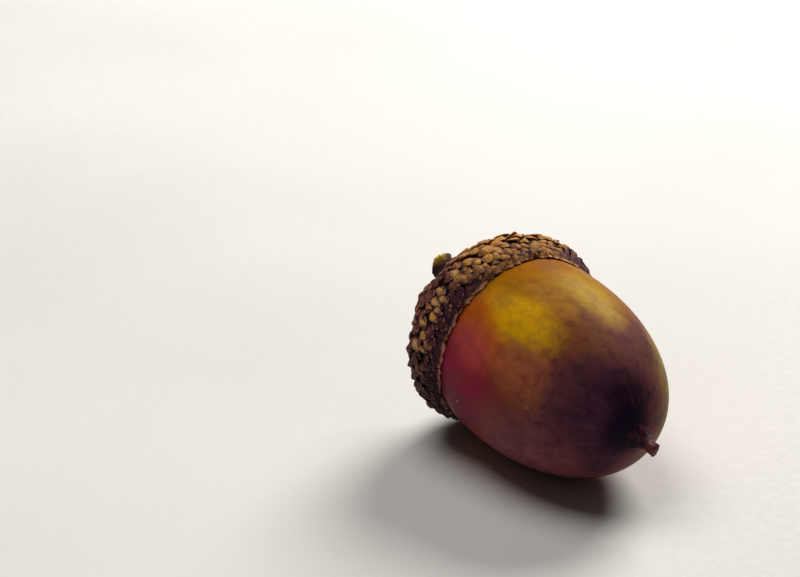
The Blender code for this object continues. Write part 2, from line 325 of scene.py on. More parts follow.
# Fine pale specks of dust and scuffs.
speck_group = tree = bpy.data.node_groups.new("Pale Specks", "ShaderNodeTree")
speck_inputs = {"Vector": "Vector", "Spacing": 1.0, "Size": 0.2, "Share": 0.3}
g, out = new_sockets(tree, speck_inputs, {"Mask": "Float"})
dots = add_node(tree, "ShaderNodeTexVoronoi", {"Vector": g["Vector"]})
feed(tree, dots.inputs["Scale"], calc(tree, "DIVIDE", 1.0, g["Spacing"]))
chance = add_node(tree, "ShaderNodeSeparateColor", {"Color": dots.outputs["Color"]})
chosen = calc(tree, "LESS_THAN", chance.outputs[0], g["Share"])
off_centre = calc(tree, "DIVIDE", dots.outputs["Distance"], g["Size"])
near = calc(tree, "SUBTRACT", 1.0, off_centre, clamp=True)
mask = times(tree, near, chosen)
tree.links.new(mask, out["Mask"])


def specks(tree, where, spacing, size, share):
    inputs = {"Vector": where, "Spacing": spacing, "Size": size, "Share": share}
    return add_node(tree, "ShaderNodeGroup", inputs, node_tree=speck_group).outputs["Mask"]


# The shell's colours. Lengths are in millimetres on the acorn's own axis.
SHELL_TAN = paint(172, 122, 0)
SHELL_CHESTNUT = paint(126, 56, 26)
SHELL_BROWN = paint(120, 69, 69)
# Dark purple, used both for the shell's real mottle and for the painted shadow round the style.
SHELL_MOTTLE_AND_SHADOW = paint(22, 14, 38)
SHELL_PLUM = paint(100, 52, 62)
SHELL_SCUFF = paint(214, 190, 130)
# The patches of a ripening shell, lowest first: name, colour, middle, reach and strength.
# Five of them are painted light: two painted shadows, a painted highlight and two painted
# reflections.
RIPENING_AND_PAINTED_LIGHT = (
    ("orange blush", paint(218, 104, 30), (-6.7, -8.4, 1.4), (6.2, 6.0, 7.6), 0.95),
    ("amber at the rim", paint(168, 102, 0), (-10.0, 1.0, -2.8), (5.2, 8.5, 4.6), 0.9),
    ("crimson blush", paint(150, 28, 64), (0.7, -10.0, -0.5), (7.5, 6.6, 9.5), 1.0),
    ("scarlet blush", paint(202, 76, 86), (-4.3, -9.0, 0.4), (3.2, 3.3, 4.8), 0.62),
    ("russet flank", paint(138, 80, 86), (4.5, -8.0, 8.0), (8.5, 7.0, 9.5), 0.95),
    # A painted shadow: dark plum low on the flank by the rim.
    ("damson low by the rim", paint(92, 14, 44), (3.6, -9.6, -1.4), (5.0, 5.0, 5.0), 0.8),
    ("chestnut under the gold", paint(188, 106, 70), (-5.0, -7.7, 7.2), (5.2, 4.4, 5.4), 0.85),
    ("dark face", paint(76, 42, 66), (-2.2, -3.5, 14.6), (7.6, 7.5, 7.3), 0.97),
    # A painted shadow: near-black on the shell just above the style's root.
    ("dark shoulder", paint(34, 22, 42), (-4.0, -0.6, 15.3), (3.4, 3.4, 3.4), 0.8),
    ("damson belly", paint(56, 34, 54), (2.6, -3.6, 15.2), (4.4, 3.7, 3.4), 0.85),
    ("plum streak", paint(192, 122, 60), (-9.7, -2.5, 4.6), (2.6, 2.2, 7.0), 0.48),
    ("plum streak's end", paint(140, 86, 58), (-8.3, -1.2, 10.2), (3.4, 3.0, 5.0), 0.75),
    ("plum shoulder", paint(114, 76, 56), (-6.4, 3.6, 12.0), (3.4, 2.6, 4.4), 0.8),
    ("umber shade", paint(142, 78, 46), (-7.8, -3.8, 8.8), (3.2, 2.9, 3.4), 0.7),
    # A painted highlight: a broad pale gold sheen along the top.
    ("pale gold along the top", paint(192, 150, 0), (-9.4, 2.0, 5.4), (3.2, 3.0, 6.6), 0.75),
    ("gold window", paint(248, 184, 10), (-8.1, -5.7, 3.7), (3.6, 3.4, 7.4), 1.0),
    # A painted reflection: a light olive band along the +Y edge, where the shell would mirror the pale
    # table.
    ("olive edge", paint(158, 136, 20), (-0.8, 7.2, 13.0), (9.2, 5.2, 10.6), 0.9),
    # A painted reflection of the pale table: grey olive low on the belly.
    ("olive belly", paint(112, 98, 58), (4.2, 3.6, 14.0), (6.0, 5.8, 5.5), 0.85),
)
# Where the ground colours change: X rises down the flank, and Z rises to the point.
TAN_TO_CHESTNUT_X = (-9.2, -6.0)
BROWN_FROM_Z = (5.0, 12.0)
PLUM_FROM_Z = (5.0, 10.0)
MOTTLE_FROM_Z = (2.0, 9.0, 0.25, 1.0)
GRAIN_TO_Z = (12.0, 7.0)
# Patches have ragged edges, because their places wander.
WANDER_SCALE = 0.26
WANDER_REACH = 3.0
# Streaks run from end to end: the pattern is slow along the axis.
STREAK_SLOWNESS = 0.035
STREAK_SCALE = 6.0
FINE_STREAK_SCALE = 34.0
STREAKS_SHOW = (0.46, 0.70, 0.0, 0.32)
# Flecks: scale, detail and roughness of their cloud, where they start and are whole, strength.
MOTTLE_FLECKS = (0.75, 5.0, 0.65, 0.46, 0.70, 0.42)
GRAIN_FLECKS = (2.6, 3.0, 0.7, 0.50, 0.66, 0.14)
FLUSH_FLECKS = (0.95, 4.0, 0.6, 0.46, 0.66, 0.24)
PLUM_FLECKS = (0.34, 5.0, 0.66, 0.46, 0.66, 0.6)
# A painted shadow on the shell round the root of the style, darkest close to it.
STYLE_SHADOW_CENTRE = (-0.9, -1.5, 16.0)
STYLE_SHADOW_REACH = (3.8, 1.4, 0.0, 0.95)
SCUFF_SPACING, SCUFF_SIZE, SCUFF_SHARE = 2.2, 0.09, 0.35
SHELL_ROUGHNESS = (0.3, 0.7, 0.38, 0.48)
SHELL_RELIEF = 0.00006
SHELL_SPECULAR = 0.03
SHELL_SHEEN_TINT = (1.0, 0.76, 0.40, 1.0)

shell, tree, shader = new_finish("ripe_shell")
where = acorn_millimetres(tree)
on_nut = split_up(tree, where)
turn_place = vector_calc(tree, "NORMALIZE", join_up(tree, on_nut["X"], on_nut["Y"]))
slow = join_up(tree, z=times(tree, on_nut["Z"], STREAK_SLOWNESS))
streak_place = vector_calc(tree, "ADD", turn_place, slow)
streaks = cloud(tree, streak_place, STREAK_SCALE, 3.0, 0.5)
fine_streaks = cloud(tree, streak_place, FINE_STREAK_SCALE, 3.0, 0.6)
astray = {"Vector": where, "Scale": WANDER_SCALE, "Detail": 5.0, "Roughness": 0.62}
wander = add_node(tree, "ShaderNodeTexNoise", astray).outputs["Color"]
drift = stretched(tree, vector_calc(tree, "SUBTRACT", wander, (0.5, 0.5, 0.5)), WANDER_REACH)
loose = vector_calc(tree, "ADD", where, drift)
colour = over(tree, SHELL_TAN, SHELL_CHESTNUT, between(tree, on_nut["X"], *TAN_TO_CHESTNUT_X))
colour = over(tree, colour, SHELL_BROWN, between(tree, on_nut["Z"], *BROWN_FROM_Z))
for name, tint, centre, reach, strength in RIPENING_AND_PAINTED_LIGHT:
    colour = over(tree, colour, tint, patch(tree, loose, centre, reach, strength))
colour = over(tree, colour, SHELL_BROWN, between(tree, streaks, *STREAKS_SHOW))
grain = flecks(tree, where, *GRAIN_FLECKS)
grain = calc(tree, "MAXIMUM", grain, flecks(tree, where, *FLUSH_FLECKS))
grain = times(tree, grain, between(tree, on_nut["Z"], *GRAIN_TO_Z))
colour = over(tree, colour, SHELL_CHESTNUT, grain)
plum = times(tree, flecks(tree, where, *PLUM_FLECKS), between(tree, on_nut["Z"], *PLUM_FROM_Z))
colour = over(tree, colour, SHELL_PLUM, plum)
mottle = flecks(tree, where, *MOTTLE_FLECKS)
mottle = times(tree, mottle, between(tree, on_nut["Z"], *MOTTLE_FROM_Z))
colour = over(tree, colour, SHELL_MOTTLE_AND_SHADOW, mottle)
# Painted shadow round the root of the style.
style_painted_shadow = between(tree, far_from(tree, where, STYLE_SHADOW_CENTRE), *STYLE_SHADOW_REACH)
colour = over(tree, colour, SHELL_MOTTLE_AND_SHADOW, style_painted_shadow)
scuffs = specks(tree, where, SCUFF_SPACING, SCUFF_SIZE, SCUFF_SHARE)
colour = over(tree, colour, SHELL_SCUFF, scuffs)
tree.links.new(colour, shader.inputs["Base Color"])
tree.links.new(between(tree, fine_streaks, *SHELL_ROUGHNESS), shader.inputs["Roughness"])
pores = times(tree, cloud(tree, where, 6.0, 3.0), 0.25)
relief = plus(tree, times(tree, fine_streaks, 0.6), pores)
bump = {"Strength": 0.22, "Distance": SHELL_RELIEF, "Height": relief}
tree.links.new(add_node(tree, "ShaderNodeBump", bump).outputs[0], shader.inputs["Normal"])
shader.inputs["Specular IOR Level"].default_value = SHELL_SPECULAR
shader.inputs["Specular Tint"].default_value = SHELL_SHEEN_TINT

nut_blank = bpy.data.meshes.new("nut_blank")
nut_mesh = grow("nut_shell", nut_blank, nut_tree, {**nut_sizes, "Material": shell})
lay_down(nut_mesh)
nut = show("nut_shell", nut_mesh)
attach(nut, "root")
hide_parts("nut")


# THE DRIED STYLE
# What is left of the flower on the nut's point: a cone of hard, dry, brown-purple fibre that
# shrank into twisted flutes, with a blunt end of three lobes. It grew out of the shell.

STYLE_ROOT_STATION = 0.0156
STYLE_LENGTH = 0.0034
STYLE_ROOT_RADIUS = 0.00212
STYLE_WAIST_RADIUS = 0.00056
STYLE_WAIST_SHARE = 0.72
STYLE_WAIST_RUN = 0.12
STYLE_CROWN_SHARE = 0.97
STYLE_CROWN_RISE = 0.6
STYLE_CROWN_SHRINK = 0.55
STYLE_END_RADIUS = 0.00064
STYLE_TAPER = 1.3
STYLE_FLUTES = 7
STYLE_FLUTE_DEPTH = 0.12
STYLE_LOBES = 3
STYLE_LOBE_DEPTH = 0.50
STYLE_TWIST = 1.1
STYLE_WRINKLE = 0.16
STYLE_LEAN_DOWN = 0.0004
STYLE_LEAN_ASIDE = 0.0001
STYLE_SIDES, STYLE_RINGS = 96, 60


def ringed_peg(name, sides, rings, shape):
    """A closed peg. The shape gives each point from its turn and its share of the height."""
    turns = [2.0 * math.pi * j / sides for j in range(sides)]
    points = [shape(turn, i / rings) for i in range(rings + 1) for turn in turns]
    faces = []
    for i in range(rings):
        for j in range(sides):
            k = (j + 1) % sides
            faces.append((i * sides + j, i * sides + k, (i + 1) * sides + k, (i + 1) * sides + j))
    foot = sum((Vector(p) for p in points[:sides]), Vector()) / sides
    head = sum((Vector(p) for p in points[-sides:]), Vector()) / sides
    points += [foot, head]
    for j in range(sides):
        k = (j + 1) % sides
        faces.append((len(points) - 2, k, j))
        faces.append((len(points) - 1, rings * sides + j, rings * sides + k))
    mesh = bpy.data.meshes.new(name)
    mesh.from_pydata(points, [], faces)
    mesh.shade_smooth()
    return mesh


def style_point(turn, share):
    shrink = 1.0
    if share > STYLE_CROWN_SHARE:
        share = STYLE_CROWN_SHARE + (share - STYLE_CROWN_SHARE) * STYLE_CROWN_RISE
        shrink = STYLE_CROWN_SHRINK
    if share < STYLE_WAIST_SHARE:
        width = (1.0 - share / STYLE_WAIST_SHARE) ** STYLE_TAPER
        radius = STYLE_WAIST_RADIUS + (STYLE_ROOT_RADIUS - STYLE_WAIST_RADIUS) * width
    else:
        width = math.sin(math.pi / 2 * min(1.0, (share - STYLE_WAIST_SHARE) / STYLE_WAIST_RUN))
        radius = STYLE_WAIST_RADIUS + (STYLE_END_RADIUS - STYLE_WAIST_RADIUS) * width
    swirl = turn + STYLE_TWIST * share
    rough = noise.noise(Vector((math.cos(swirl) * 2.6, math.sin(swirl) * 2.6, share * 3.5)))
    close = Vector((math.cos(swirl) * 7.0, math.sin(swirl) * 7.0, share * 12.0 + 5.0))
    fine = noise.noise(close)
    flute = abs(math.cos(STYLE_FLUTES * swirl / 2.0 + 1.2 * rough)) - 0.6
    radius *= 1.0 + STYLE_FLUTE_DEPTH * math.sin(math.pi * (0.15 + 0.85 * share)) * flute
    radius *= 1.0 + STYLE_WRINKLE * (rough + 0.5 * fine) * min(1.0, share / STYLE_WAIST_SHARE)
    radius *= 1.0 + STYLE_LOBE_DEPTH * max(0.0, share - 0.6) * math.cos(STYLE_LOBES * turn)
    lean = share**1.3
    x = math.cos(turn) * radius * shrink + STYLE_LEAN_DOWN * lean
    y = math.sin(turn) * radius * shrink + STYLE_LEAN_ASIDE * lean
    return x, y, STYLE_ROOT_STATION + STYLE_LENGTH * share


# Dry plant fibre: a colour that varies along the grain, and the ridges of the grain itself.
FIBRE_FINENESS = 4.3
FIBRE_RIDGES = 0.65
fibre_group = tree = bpy.data.node_groups.new("Dry Fibre", "ShaderNodeTree")
fibre_inputs = {"Vector": "Vector", "Scale": 2.0, "Stretch": 0.3}
g, out = new_sockets(tree, fibre_inputs, {"Tone": "Float", "Height": "Float"})
squeeze = join_up(tree, 1.0, 1.0, g["Stretch"])
drawn = vector_calc(tree, "MULTIPLY", g["Vector"], squeeze)
coarse = cloud(tree, drawn, g["Scale"], 4.0, 0.62)
close = cloud(tree, drawn, times(tree, g["Scale"], FIBRE_FINENESS), 3.0, 0.6)
tone = between(tree, coarse, 0.34, 0.66)
ridges = times(tree, coarse, FIBRE_RIDGES)
height = plus(tree, ridges, times(tree, close, 1.0 - FIBRE_RIDGES))
tree.links.new(tone, out["Tone"])
tree.links.new(height, out["Height"])


def fibre(tree, where, scale, stretch):
    inputs = {"Vector": where, "Scale": scale, "Stretch": stretch}
    made = add_node(tree, "ShaderNodeGroup", inputs, node_tree=fibre_group)
    return made.outputs["Tone"], made.outputs["Height"]


DRY_SHEEN = 0.2
ROUGHNESS_SPREAD = 0.08


def rough_surface(tree, shader, colour, height, depth, strength, roughness):
    """A dry surface, rougher in its hollows. Depth is the height of its relief in metres."""
    tree.links.new(colour, shader.inputs["Base Color"])
    bump = add_node(tree, "ShaderNodeBump", {"Strength": strength, "Distance": depth, "Height": height})
    tree.links.new(bump.outputs[0], shader.inputs["Normal"])
    low, high = roughness + ROUGHNESS_SPREAD, roughness - ROUGHNESS_SPREAD
    tree.links.new(between(tree, height, 0.3, 0.7, low, high), shader.inputs["Roughness"])
    shader.inputs["Specular IOR Level"].default_value = DRY_SHEEN


STYLE_PURPLE = paint(26, 6, 24)
STYLE_MAUVE = paint(106, 36, 62)
STYLE_WORN = paint(150, 92, 96)
STYLE_SHADE = paint(16, 6, 14)
STYLE_END = paint(104, 50, 48)
STYLE_WEAR = (3.4, 3.0, 0.5, 0.56, 0.70, 0.35)
STYLE_ROOT_CENTRE = (0.6, -1.2, 15.8)
STYLE_ROOT_SHADE = (2.7, 1.0, 0.0, 0.9)
STYLE_END_Z = (17.8, 18.3, 0.0, 0.7)

dried, tree, shader = new_finish("dried_style")
where = acorn_millimetres(tree)
tone, height = fibre(tree, where, 1.8, 0.35)
colour = over(tree, STYLE_PURPLE, STYLE_MAUVE, tone)
colour = over(tree, colour, STYLE_WORN, flecks(tree, where, *STYLE_WEAR))
root = between(tree, far_from(tree, where, STYLE_ROOT_CENTRE), *STYLE_ROOT_SHADE)
colour = over(tree, colour, STYLE_SHADE, root)
end = between(tree, split_up(tree, where)["Z"], *STYLE_END_Z)
colour = over(tree, colour, STYLE_END, end)
rough_surface(tree, shader, colour, height, 0.00008, 0.7, 0.62)

style_mesh = ringed_peg("dried_style", STYLE_SIDES, STYLE_RINGS, style_point)
style_mesh.materials.append(dried)
lay_down(style_mesh)
style = show("dried_style", style_mesh)
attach(style, "root")
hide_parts("nut")


# THE CUP'S WALL
# The woody bowl that holds the nut: it bulges behind its rim, closes in a dome over the stalk,
# and thins to an edge that hugs the shell. It grew in one piece with its scales and its stalk.

CUP_RIM_STATION = -0.0038
CUP_RIM_RADIUS = 0.01042
CUP_BULGE_STATION = -0.0061
CUP_BULGE_RADIUS = 0.01068
CUP_POLE_STATION = -0.0133
CUP_CLEARANCE = 0.00012
CUP_SIDES = 160
CUP_RINGS = 40
RIM_RINGS = 8
INSIDE_RINGS = 16
WALL_ROUGHNESS = 0.00010
WALL_ROUGHNESS_SCALE = 900.0
# Low on the -Y side the rim is set back and the wall pulled in, because the cup grew askew.
SKEW_TURN = math.radians(-25.0)
SKEW_FALLOFF = 4
SKEW_SETBACK = 0.0016
SKEW_PULL = 0.035


def nut_radius(station):
    if station > 0.0:
        share = min(station / NUT_POINT_STATION, 1.0)
        return NUT_RADIUS * (1.0 - share**NUT_POINT_POWER) ** (1.0 / NUT_POINT_BLUNTNESS)
    return NUT_RADIUS * math.sqrt(1.0 - (-station / NUT_BACK_REACH) ** NUT_BACK_POWER)


def cup_radius(station):
    if station > CUP_BULGE_STATION:
        share = (station - CUP_BULGE_STATION) / (CUP_RIM_STATION - CUP_BULGE_STATION)
        return CUP_BULGE_RADIUS + (CUP_RIM_RADIUS - CUP_BULGE_RADIUS) * share**2
    share = (CUP_BULGE_STATION - station) / (CUP_BULGE_STATION - CUP_POLE_STATION)
    return CUP_BULGE_RADIUS * math.sqrt(max(0.0, 1.0 - share**2))


def skewed(point):
    x, y, station = point
    side = max(0.0, math.cos(math.atan2(y, x) - SKEW_TURN)) ** SKEW_FALLOFF
    share = (station - CUP_POLE_STATION) / (CUP_RIM_STATION - CUP_POLE_STATION)
    amount = side * min(1.0, max(0.0, share))
    pull = 1.0 - SKEW_PULL * amount
    # The inside keeps its room for the nut, whatever the outside does.
    least = nut_radius(max(NUT_SCAR_STATION, min(0.0, station))) + CUP_CLEARANCE
    radius = math.hypot(x, y)
    if radius * pull < least <= radius:
        pull = least / radius
    return Vector((x * pull, y * pull, station - SKEW_SETBACK * amount))


def wall_outline():
    """(radius, station) points from the pole up the outside, over the rim and down the inside."""
    outline = [(0.0, CUP_POLE_STATION)]
    for i in range(1, CUP_RINGS + 1):
        drop = math.cos(math.pi / 2 * i / CUP_RINGS)
        station = CUP_BULGE_STATION + (CUP_POLE_STATION - CUP_BULGE_STATION) * drop
        outline.append((cup_radius(station), station))
    for i in range(1, RIM_RINGS + 1):
        station = CUP_BULGE_STATION + (CUP_RIM_STATION - CUP_BULGE_STATION) * i / RIM_RINGS
        outline.append((cup_radius(station), station))
    for i in range(INSIDE_RINGS + 1):
        station = CUP_RIM_STATION + (NUT_SCAR_STATION - CUP_RIM_STATION) * i / INSIDE_RINGS
        outline.append((nut_radius(station) + CUP_CLEARANCE, station))
    outline.append((0.0, NUT_SCAR_STATION - CUP_CLEARANCE))
    return outline


def turned_wall(name, outline, sides):
    form = bmesh.new()
    rings = []
    for radius, station in outline:
        if radius == 0.0:
            rings.append([form.verts.new((0.0, 0.0, station))] * sides)
            continue
        ring = []
        for j in range(sides):
            turn = 2.0 * math.pi * j / sides
            spot = Vector((math.cos(turn) * radius, math.sin(turn) * radius, station))
            outside = radius - nut_radius(max(station, NUT_SCAR_STATION)) > 2.0 * CUP_CLEARANCE
            rough = noise.noise(spot * WALL_ROUGHNESS_SCALE) * WALL_ROUGHNESS
            swell = rough if outside else 0.0
            ring.append(form.verts.new(spot * (1.0 + swell / radius)))
        rings.append(ring)
    for low, high in zip(rings, rings[1:]):
        for j in range(sides):
            k = (j + 1) % sides
            corners = []
            for vertex in (low[j], low[k], high[k], high[j]):
                if vertex not in corners:
                    corners.append(vertex)
            form.faces.new(corners)
    bmesh.ops.recalc_face_normals(form, faces=form.faces[:])
    mesh = bpy.data.meshes.new(name)
    form.to_mesh(mesh)
    form.free()
    mesh.shade_smooth()
    return mesh


def drawn_from(tree, name, output="Fac"):
    return add_node(tree, "ShaderNodeAttribute", attribute_name=name).outputs[output]


def keep_stations(mesh):
    """Notes each point's station in millimetres, as it was before the cup is bent askew."""
    stations = [vertex.co.z / MILLIMETRE for vertex in mesh.vertices]
    mesh.attributes.new("station", "FLOAT", "POINT").data.foreach_set("value", stations)


BARK_DARK = paint(22, 13, 18)
BARK_BROWN = paint(64, 40, 34)
# The pale lip is partly the rim's own colour and partly painted light, which lifts the shade in the
# slit beside the nut.
BARK_LIP = paint(150, 104, 86)
BARK_LIP_STATIONS = (-4.3, -3.9, 0.0, 0.8)

bark, tree, shader = new_finish("cup_bark")
where = acorn_millimetres(tree)
tone, height = fibre(tree, where, 1.6, 0.6)
colour = over(tree, BARK_DARK, BARK_BROWN, tone)
# Pale lip at the rim: partly its own colour, partly painted light.
rim = between(tree, drawn_from(tree, "station"), *BARK_LIP_STATIONS)
colour = over(tree, colour, BARK_LIP, rim)
rough_surface(tree, shader, colour, height, 0.00012, 0.8, 0.85)

wall_mesh = turned_wall("cup_wall", wall_outline(), CUP_SIDES)
wall_mesh.materials.append(bark)
keep_stations(wall_mesh)
lay_down(wall_mesh, skewed)
wall = show("cup_wall", wall_mesh)
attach(wall, "root")
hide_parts("cup")


# THE SCALES
# Over six hundred small woody scales grew out of the wall and overlap like shingles, with thin
# pale tips towards the rim. They are broad near the stalk, smaller and swollen round the bulge,
# where the crests of their backs are painted pale, partly as wear and partly as a painted
# highlight, and fine and thin at the rim, where the last row hugs the nut.

SCALE_FIRST_SHARE = 0.07
SCALE_WIDEST_SHARE = 0.82
SCALE_PITCH_AT_STALK = 0.00170
SCALE_PITCH_AT_WIDEST = 0.00128
SCALE_PITCH_AT_RIM = 0.00062
SCALE_THICKNESS = 0.00056
SCALE_THICKNESS_AT_RIM = 0.00036
SCALE_TILT = math.radians(10.0)
SCALE_TILT_AT_RIM = math.radians(8.0)
SCALE_TILT_VARIES = (0.6, 1.5)
SCALE_WIDTH = 1.22
SCALE_LENGTH = 1.50
SCALE_LENGTH_AT_RIM = 1.95
SCALE_STRAY = 0.26
SCALE_SEED = 11
# One or two rows at the bulge have swollen, rubbed backs, whose pale crests are partly a painted
# highlight, and not every scale there has one.
KNOB_HEIGHT = 0.00056
KNOB_SHARE = 0.855
KNOB_REACH = 0.088
KNOB_CHANCE = 0.60
KNOB_VARIES = (0.6, 1.0)
# The scales that lie on top are worn flatter and thinner.
WORN_TURN = math.radians(165.0)
WORN_LOSS = 0.8
WORN_THINNING = 0.42
WORN_FALLOFF = 4
# The last row leans in on the nut, fine, thin and ragged. Its scales overlap by half.
FRINGE_PITCH = 0.00054
FRINGE_OVERLAP = 2.0
FRINGE_STRAY = 0.3
FRINGE_LENGTH = (0.0009, 0.0013)
FRINGE_THICKNESS = 0.00026
FRINGE_TILT = math.radians(-18.0)
# Backs that would stand out past this reach are pressed in, and keep only this share of it.
SCALE_REACH = 0.01105
SCALE_GIVE = 0.35
# High on the +Y side the cup stands fuller, up to near its rim.
FULL_TURN = math.radians(135.0)
FULL_SWELL = 0.038
FULL_FALLOFF = 6
FULL_FADE = 0.0014
# Past the rim the tips come down on the shell, with hardly a gap.
HUG_RUN = 0.0003
HUG_GAP = 0.00006
HUG_GIVE = 0.55
GOLDEN_ANGLE = math.pi * (3.0 - math.sqrt(5.0))

# A scale of unit size, from root to tip.
# (place along, half width, height of the back, height of the edge, height of the underside)
SCALE_RIBS = (
    (-0.50, 0.30, 0.00, -0.40, -0.60),
    (-0.30, 0.46, 0.55, -0.05, -0.60),
    (-0.08, 0.50, 0.90, 0.22, -0.40),
    (0.16, 0.42, 0.80, 0.36, -0.05),
    (0.36, 0.26, 0.66, 0.42, 0.20),
    (0.50, 0.06, 0.54, 0.46, 0.34),
)


SHOULDER_OUT = 0.58
SHOULDER_UP = 0.80
ROOT_OUT = 0.6
CREST_AT_EDGE = 0.15
CREST_AT_SHOULDER = 0.75
CREST_AT_END = 0.3


def blend(low, high, share):
    return low + (high - low) * min(1.0, max(0.0, share))


def towards_rim(share):
    return min(1.0, max(0.0, (share - SCALE_WIDEST_SHARE) / (1.0 - SCALE_WIDEST_SHARE)))


def scale_pitch(share):
    """The distance between neighbouring scales."""
    if share < SCALE_WIDEST_SHARE:
        return blend(SCALE_PITCH_AT_STALK, SCALE_PITCH_AT_WIDEST, share / SCALE_WIDEST_SHARE)
    return blend(SCALE_PITCH_AT_WIDEST, SCALE_PITCH_AT_RIM, towards_rim(share))


def scale_blank():
    """One scale of unit size, with its tip at +Y and its root sunk below Z 0."""
    points, crests = [], []
    for along, half, back, edge, under in SCALE_RIBS:
        shoulder = edge + (back - edge) * SHOULDER_UP
        section = (
            (half, edge, CREST_AT_EDGE),
            (half * SHOULDER_OUT, shoulder, CREST_AT_SHOULDER),
            (0.0, back, 1.0),
            (-half * SHOULDER_OUT, shoulder, CREST_AT_SHOULDER),
            (-half, edge, CREST_AT_EDGE),
            (-half * ROOT_OUT, under, 0.0),
            (0.0, under, 0.0),
            (half * ROOT_OUT, under, 0.0),
        )
        points += [(x, along, z) for x, z, crest in section]
        crests += [crest for x, z, crest in section]
    rings, sides = len(SCALE_RIBS), len(section)
    faces = []
    for i in range(rings - 1):
        for j in range(sides):
            k = (j + 1) % sides
            faces.append((i * sides + j, i * sides + k, (i + 1) * sides + k, (i + 1) * sides + j))
    for end in (0, rings - 1):
        ring = [Vector(p) for p in points[end * sides : (end + 1) * sides]]
        points.append(sum(ring, Vector()) / sides)
        crests.append(CREST_AT_END)
        for j in range(sides):
            faces.append((len(points) - 1, end * sides + j, end * sides + (j + 1) % sides))
    mesh = bpy.data.meshes.new("scale_blank")
    mesh.from_pydata([tuple(p) for p in points], [], faces)
    form = bmesh.new()
    form.from_mesh(mesh)
    bmesh.ops.recalc_face_normals(form, faces=form.faces[:])
    form.to_mesh(mesh)
    form.free()
    mesh.attributes.new("crest", "FLOAT", "POINT").data.foreach_set("value", crests)
    rims = [crest == CREST_AT_EDGE for crest in crests]
    crisp = [rims[edge.vertices[0]] and rims[edge.vertices[1]] for edge in mesh.edges]
    mesh.attributes.new("sharp_edge", "BOOLEAN", "EDGE").data.foreach_set("value", crisp)
    along = [vertex.co.y + 0.5 for vertex in mesh.vertices]
    mesh.attributes.new("along", "FLOAT", "POINT").data.foreach_set("value", along)
    return mesh


def wall_steps(pieces=400):
    """Walks up the outside of the wall: (share of the way, length of step, point, direction)."""
    outline = wall_outline()[: CUP_RINGS + RIM_RINGS + 1]
    points = [Vector((radius, 0.0, station)) for radius, station in outline]
    lengths = [(end - start).length for start, end in zip(points, points[1:])]
    total, travelled = sum(lengths), 0.0
    for start, end, run in zip(points, points[1:], lengths):
        steps = max(1, round(pieces * run / total))
        for i in range(steps):
            part = (i + 0.5) / steps
            share = (travelled + run * part) / total
            yield share, run / steps, start.lerp(end, part), (end - start).normalized()
        travelled += run


def scale_places():
    """One point for each scale, on a spiral that turns by the golden angle, then the fringe."""
    chance = random.Random(SCALE_SEED)
    spots, sizes, angles, outwards, alongs = [], [], [], [], []

    def plant(turn, point, along, size, tilt, share, knob):
        spots.append(turn @ point)
        outwards.append(turn @ Vector((along.z, 0.0, -along.x)))
        alongs.append(turn @ along)
        sizes.append(size)
        angles.append((tilt, share, knob))

    room, number = 0.0, 0
    for share, step, point, along in wall_steps():
        if share < SCALE_FIRST_SHARE:
            continue
        pitch = scale_pitch(share)
        room += 2.0 * math.pi * point.x * step / pitch**2
        while number + 0.5 < room:
            astray = chance.uniform(-1.0, 1.0) * SCALE_STRAY * pitch / point.x
            rim = towards_rim(share)
            length = blend(SCALE_LENGTH, SCALE_LENGTH_AT_RIM, rim) * pitch
            thickness = blend(SCALE_THICKNESS, SCALE_THICKNESS_AT_RIM, rim)
            tilt = blend(SCALE_TILT, SCALE_TILT_AT_RIM, rim) * chance.uniform(*SCALE_TILT_VARIES)
            nearness = max(0.0, 1.0 - ((share - KNOB_SHARE) / KNOB_REACH) ** 2)
            swollen = chance.uniform(*KNOB_VARIES) if chance.random() < KNOB_CHANCE else 0.0
            knob = KNOB_HEIGHT * nearness * swollen
            up = along * chance.uniform(-1.0, 1.0) * SCALE_STRAY * pitch
            angle = number * GOLDEN_ANGLE + astray
            worn = max(0.0, math.cos(angle - WORN_TURN)) ** WORN_FALLOFF
            knob *= 1.0 - WORN_LOSS * worn
            thickness *= 1.0 - WORN_THINNING * worn
            turn = Matrix.Rotation(angle, 3, "Z")
            plant(turn, point + up, along, (SCALE_WIDTH * pitch, length, thickness), tilt, share, knob)
            number += 1
    count = round(2.0 * math.pi * point.x / FRINGE_PITCH)
    for i in range(count):
        place = i + chance.uniform(-FRINGE_STRAY, FRINGE_STRAY)
        turn = Matrix.Rotation(2.0 * math.pi * place / count, 3, "Z")
        width = FRINGE_PITCH * FRINGE_OVERLAP
        size = (width, chance.uniform(*FRINGE_LENGTH), FRINGE_THICKNESS)
        plant(turn, point, along, size, FRINGE_TILT, 1.0, 0.0)
    mesh = bpy.data.meshes.new("scale_places")
    mesh.from_pydata(spots, [], [])
    notes = {"outward": outwards, "along_wall": alongs, "size": sizes, "lie": angles}
    for name, values in notes.items():
        flat = [v for value in values for v in value]
        mesh.attributes.new(name, "FLOAT_VECTOR", "POINT").data.foreach_set("vector", flat)
    return mesh


def held_in(point):
    """Bends a point with the cup, presses far backs in, and brings the last tips down on the nut."""
    x, y, station = skewed(point)
    full = max(0.0, math.cos(math.atan2(y, x) - FULL_TURN)) ** FULL_FALLOFF
    full *= min(1.0, max(0.0, (CUP_RIM_STATION - station) / FULL_FADE))
    swell = 1.0 + FULL_SWELL * full
    radius, reach = math.hypot(x, y) * swell, SCALE_REACH * swell
    if radius > reach:
        swell *= (reach + (radius - reach) * SCALE_GIVE) / radius
    radius = math.hypot(x, y)
    hug = nut_radius(max(station, NUT_SCAR_STATION)) + HUG_GAP
    past = min(1.0, max(0.0, (point.z - CUP_RIM_STATION) / HUG_RUN))
    hugged = max(hug, hug + (radius * swell - hug) * HUG_GIVE)
    swell += (hugged / radius - swell) * past
    return Vector((x * swell, y * swell, station))


